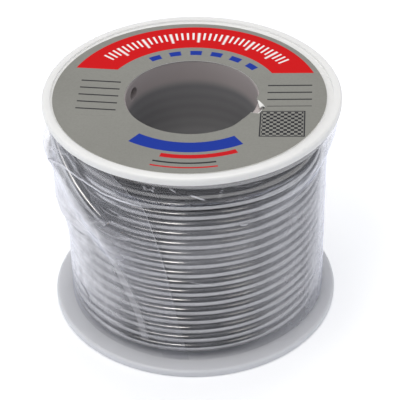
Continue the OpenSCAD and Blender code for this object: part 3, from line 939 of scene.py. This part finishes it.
def film_stand_off(az, z):
    """How far the film is held off the turns: over the loose end, under the flange and in the slack at
    the right."""
    back = np.mod(TAIL_AZ - az, 360)  # degrees back along the wire from its tip
    ahead = back - (360 - TENT_AHEAD)
    _, wire_z, _ = wire_path(LAST_RING - np.where(ahead > 0, 0, back / RING_ANGLE))
    lifted = np.maximum(ease(ahead / TENT_AHEAD), ease(-ahead / TENT_BEHIND))
    phi = front_angle(az)
    loose = ramp(-phi, 45, 25) * ramp(phi, -150, 30)
    below = wire_z - FILM_SEAT - z
    pocket = 0.2 * ease(below / 6) + 0.5 * ease((25.6 - z) / 3.2) + 0.3 * ease((22.6 - z) / 8)
    tail = TAIL_LIFT * lifted * (1 - (1 - loose) * ease(below / (TENT_H - 1.5)) - loose * pocket)
    top = TAIL_LIFT * (1 - ease((TOP_Z - FILM_SEAT - z) / TOP_TENT_H))
    slack = FILM_SLACK * ease(1 - np.abs(wrapped(az - SLACK_AZ)) / SLACK_SPREAD)
    return np.maximum(np.maximum(tail, top), slack)


def film_haze(phi, z):
    """The film is milkiest at the left, below the loose end, and at the right, and clearest at the front
    and under the flange. At the left and right sides the milkiness stands partly for the film's glancing
    reflection of bright surroundings: painted reflection, with the film's own haze."""
    back = ramp(np.abs(phi), 92, 70)
    right = (0.21 * ramp(phi, 12, 30) + 0.26 * ramp(phi, 50, 26)) * (phi > 0) * (1 - 0.85 * ramp(z, 27, 10))
    top_left = 26.0 + 7.5 * ramp(-phi, 36, 20)
    left = (0.62 * ramp(-phi, 10, 55) + 0.22 * ramp(-phi, 48, 22)) * (phi < 0)
    left = left * (0.3 + 0.7 * ramp(z, 4, 9)) * (1 - ramp(z, top_left, 5))
    tent = 0.06 * ramp(-phi, 22, 12) * (phi < 0) * ramp(z, 35.0, 2.2)
    patch = 0.22 * bell(phi, -45, 10) * bell(z, 26.5, 3.6)
    middle = 0.15 * bell(z, 26.5, 5.5) * ramp(phi, -16, 10) * (1 - ramp(phi, 20, 14))
    clear = 1 - 0.98 * ramp(z, 34.6, 1.8) * ramp(phi, -32, 12) * (1 - 0.6 * ramp(phi, 72, 30)) * (1 - back)
    above_wire = z - 34.5 - 0.17 * (-phi - 45)
    over_wire = 0.95 * ramp(phi, -80, 14) * ramp(-phi, 27, 9) * bell(above_wire, 0, 2.4, 4)
    haze = 0.028 + middle + (right + left + tent + patch) * (1 - back) + 0.17 * back
    return haze * clear * (1 - over_wire)


def make_film(material):
    """The film starts at its outer edge at the front, runs round to the left, and ends under itself."""
    z = FILM_LOW + (FILM_HIGH - FILM_LOW) * np.linspace(0, 1, FILM_ROWS + 1)[:, None]
    edge = np.interp(z, *zip(*OUTER_EDGE))
    overlap = edge - np.interp(z, *zip(*INNER_EDGE))
    # Columns stand closest at the front, where the film is creased
    near, far = np.linspace(0, 80, 130, False), np.linspace(80, 265, 185, False)
    turn = np.concatenate([near, far, np.linspace(265, 360, 156)])[None, :] * (360 + overlap) / 360
    rows, columns = turn.shape
    az = edge - turn - 90
    z = z + 0 * turn
    phi = front_angle(az)
    outer_sheet = turn < 360
    lift = film_stand_off(az, z)
    lap = LAP_GAP * (1 - ramp(turn - overlap, 2, 10))
    # In turns, up from the middle of one: the film sinks in at the halves, where it lies on the wire
    phase = (z - START_Z - (az - START_AZ) / 360 * PITCH - lay(az, z)) / PITCH
    dip = FILM_DIP * (0.5 - 0.5 * np.cos(2 * np.pi * phase)) * (1 - ease(lift / 0.5))
    cloth = noise_field(21, 90, 97)
    ripple = cloth(phi / 4.0, z / 1.6) * 0.5 + cloth(phi / 2.0, z / 0.9 + 17) * 0.3
    loose = ease(lift / 1.2)
    rise, milk, dark = crease_marks(phi, z)
    ripple_rise = ripple * (0.02 + 0.12 * loose)
    radius = OUTER_R + WIRE_R + FILM_GAP + lap + lift - dip + ripple_rise + np.where(outer_sheet, rise, 0)
    # At the far left the film stands out a little past the upper flange, below it, and is clear there
    flare = bell(phi, -88, 14) * bell(z, 35.4, 2.3)
    radius = np.minimum(radius + 1.5 * flare * outer_sheet, FLANGE_R - 0.1 + 0.55 * flare)
    clear_left = ramp(-phi, 66, 9) * ramp(phi, -150, 25) * ramp(z, 32.8, 1.8)
    haze = (film_haze(phi, z) * (1 + 0.35 * ripple) + 0.03 * loose) * (1 - 0.96 * clear_left)
    # Painted highlight: the creases' milk whitens the film along them; painted shade: along pleats the
    # darkness takes the milk away
    haze = np.where(outer_sheet, (haze + milk * (1 - haze)) * (1 - 0.75 * dark), 0.035)
    rim = bell(turn * math.radians(1) * radius, 0, 0.16)
    haze = np.maximum(haze, 0.42 * rim * np.clip((z - 8) / 8, 0.2, 1))
    points = on_circle(np.radians(az), radius, z).reshape(-1, 3)
    ob = mesh_object("film_sheet", points, turned_over(grid_faces(rows, columns)), material)
    add_values(ob, "haze", haze)
    add_values(ob, "fold", np.where(outer_sheet, dark, 0))
    add_values(ob, "crest", np.where(outer_sheet, milk**2, 0))
    u, v = (np.linspace(0.002, 0.998, count) for count in (columns, rows))
    add_uv(ob, "OFBake", np.tile(u, rows), np.repeat(v, columns))
    piece(ob, "film", "film_wrap")


# ---------------------------------------------------------------- build
make_camera()
make_world()
make_floor()
make_tent()
for light in LIGHTS:
    make_light(*light)

for name, material in (
    # Painted shade: the lower flange, the same plastic as the upper one, is tinted darker and bluer, as it
    # lies in the upper flange's shadow, lit by bluish light from round about
    ("lower_flange", plastic_material("reel_plastic_lower", (0.885, 0.895, 0.935))),
    ("upper_flange", plastic_material("reel_plastic_upper", (1.0, 1.0, 0.985))),
    ("hub_tube", hub_material()),
):
    nodes[name].data.materials.clear()
    nodes[name].data.materials.append(material)

solder = solder_material()
make_inner(solder)
cut_end = make_wire(solder)
make_flux(*cut_end, flux_material())
make_label()
make_film(film_material())

scene.view_settings.view_transform = "Standard"
